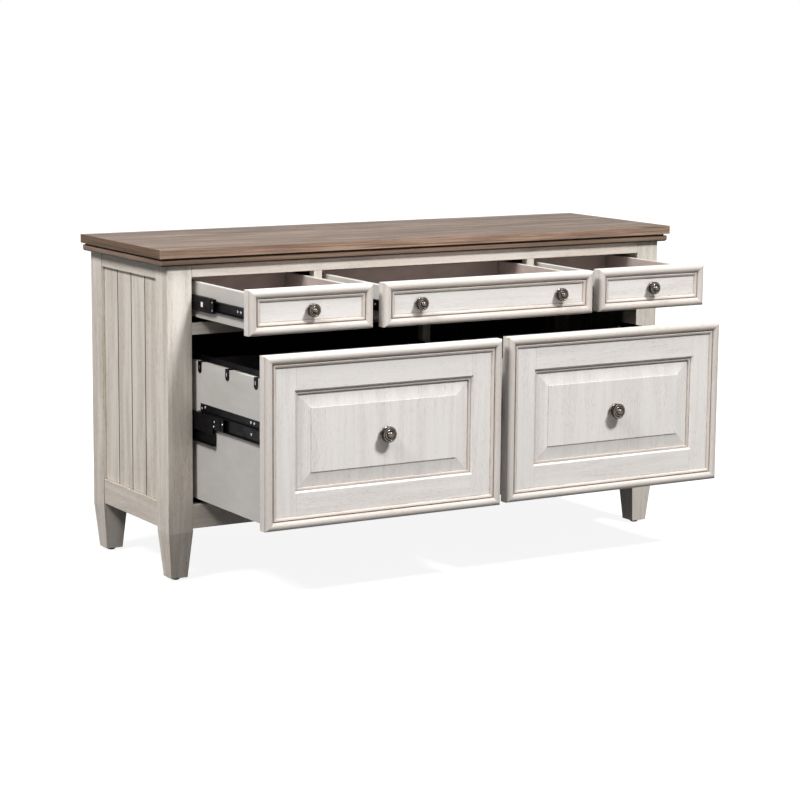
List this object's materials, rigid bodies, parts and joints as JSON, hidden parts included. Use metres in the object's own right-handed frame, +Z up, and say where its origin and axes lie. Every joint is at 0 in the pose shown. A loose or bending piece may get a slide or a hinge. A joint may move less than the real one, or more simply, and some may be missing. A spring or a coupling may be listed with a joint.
{
  "type": "file credenza",
  "caption": "Post and rail credenza with tapered feet, a row of shallow drawers over deep file drawers, moulded drawer fronts, round knobs and ball-bearing slides.",
  "frame": {"origin": "on the floor under the middle of the top board, midway between the four feet's outer faces end to end", "axes": "+X to the right of the front, +Y towards the back, +Z up; the drawers open towards -Y"},
  "size_m": [1.412, 0.7887, 0.762],
  "materials": {
    "white_frame": "antique white wash over open grain, rubbed through at the edges",
    "white_front": "antique white wash over open grain, rubbed through at the edges",
    "brown_top": "weathered grey-brown stain, satin",
    "box_paint": "smooth light grey paint",
    "lining": "taupe lining",
    "inner_wood": "plain sealed wood",
    "black_steel": "black",
    "pewter": "antique pewter",
    "black_plastic": "moulded"
  },
  "bodies": {
    "case": {"top_board": "brown_top", "top_frame": "brown_top", "front_posts": "white_frame", "back_posts": "white_frame", "side_top_rails": "white_frame", "side_bottom_rails": "white_frame", "side_panels": "white_frame", "front_top_rail": "white_frame", "front_mid_rail": "white_frame", "front_bottom_rail": "white_frame", "front_dividers": "white_frame", "upper_partitions": "inner_wood", "centre_partition": "inner_wood", "back_panel": "inner_wood", "back_rails": "white_frame", "dust_panels": "inner_wood", "runner_cleats": "inner_wood", "corner_blocks": "inner_wood", "foot_glides": "black_plastic", "upper_case_runners": "black_steel", "file_case_runners": "black_steel"},
    "upper_left_drawer": {"upper_left_front": "white_front", "upper_left_trim": "white_front", "upper_left_box": "box_paint", "upper_left_bottom": "lining", "upper_left_knob": "pewter", "upper_left_box_runners": "black_steel"},
    "upper_left_runner": {"upper_left_middle_runners": "black_steel"},
    "upper_middle_drawer": {"upper_middle_front": "white_front", "upper_middle_trim": "white_front", "upper_middle_box": "box_paint", "upper_middle_bottom": "lining", "upper_middle_knobs": "pewter", "upper_middle_box_runners": "black_steel"},
    "upper_middle_runner": {"upper_middle_middle_runners": "black_steel"},
    "upper_right_drawer": {"upper_right_front": "white_front", "upper_right_trim": "white_front", "upper_right_box": "box_paint", "upper_right_bottom": "lining", "upper_right_knob": "pewter", "upper_right_box_runners": "black_steel"},
    "upper_right_runner": {"upper_right_middle_runners": "black_steel"},
    "file_left_drawer": {"file_left_frame": "white_front", "file_left_panel": "white_front", "file_left_trim": "white_front", "file_left_box": "box_paint", "file_left_bottom": "lining", "file_left_hangers": "black_steel", "file_left_knob": "pewter", "file_left_box_runners": "black_steel"},
    "file_left_runner": {"file_left_middle_runners": "black_steel"},
    "file_right_drawer": {"file_right_frame": "white_front", "file_right_panel": "white_front", "file_right_trim": "white_front", "file_right_box": "box_paint", "file_right_bottom": "lining", "file_right_hangers": "black_steel", "file_right_knob": "pewter", "file_right_box_runners": "black_steel"},
    "file_right_runner": {"file_right_middle_runners": "black_steel"}
  },
  "joints": [
    {"name": "upper_left_slide", "type": "slide", "parent": "case", "child": "upper_left_drawer", "axis": [0, -1, 0], "range_m": [-0.27, 0.08]},
    {"name": "upper_left_runner_slide", "type": "slide", "parent": "case", "child": "upper_left_runner", "axis": [0, -1, 0], "range_m": [-0.135, 0.04]},
    {"name": "upper_middle_slide", "type": "slide", "parent": "case", "child": "upper_middle_drawer", "axis": [0, -1, 0], "range_m": [-0.275, 0.075]},
    {"name": "upper_middle_runner_slide", "type": "slide", "parent": "case", "child": "upper_middle_runner", "axis": [0, -1, 0], "range_m": [-0.1375, 0.0375]},
    {"name": "upper_right_slide", "type": "slide", "parent": "case", "child": "upper_right_drawer", "axis": [0, -1, 0], "range_m": [-0.265, 0.085]},
    {"name": "upper_right_runner_slide", "type": "slide", "parent": "case", "child": "upper_right_runner", "axis": [0, -1, 0], "range_m": [-0.1325, 0.0425]},
    {"name": "file_left_slide", "type": "slide", "parent": "case", "child": "file_left_drawer", "axis": [0, -1, 0], "range_m": [-0.343, 0.012]},
    {"name": "file_left_runner_slide", "type": "slide", "parent": "case", "child": "file_left_runner", "axis": [0, -1, 0], "range_m": [-0.1715, 0.006]},
    {"name": "file_right_slide", "type": "slide", "parent": "case", "child": "file_right_drawer", "axis": [0, -1, 0], "range_m": [-0.331, 0.024]},
    {"name": "file_right_runner_slide", "type": "slide", "parent": "case", "child": "file_right_runner", "axis": [0, -1, 0], "range_m": [-0.1655, 0.012]}
  ],
  "couplings": [
    {"joint": "upper_left_runner_slide", "follows": "upper_left_slide", "ratio": 0.5},
    {"joint": "upper_middle_runner_slide", "follows": "upper_middle_slide", "ratio": 0.5},
    {"joint": "upper_right_runner_slide", "follows": "upper_right_slide", "ratio": 0.5},
    {"joint": "file_left_runner_slide", "follows": "file_left_slide", "ratio": 0.5},
    {"joint": "file_right_runner_slide", "follows": "file_right_slide", "ratio": 0.5}
  ]
}
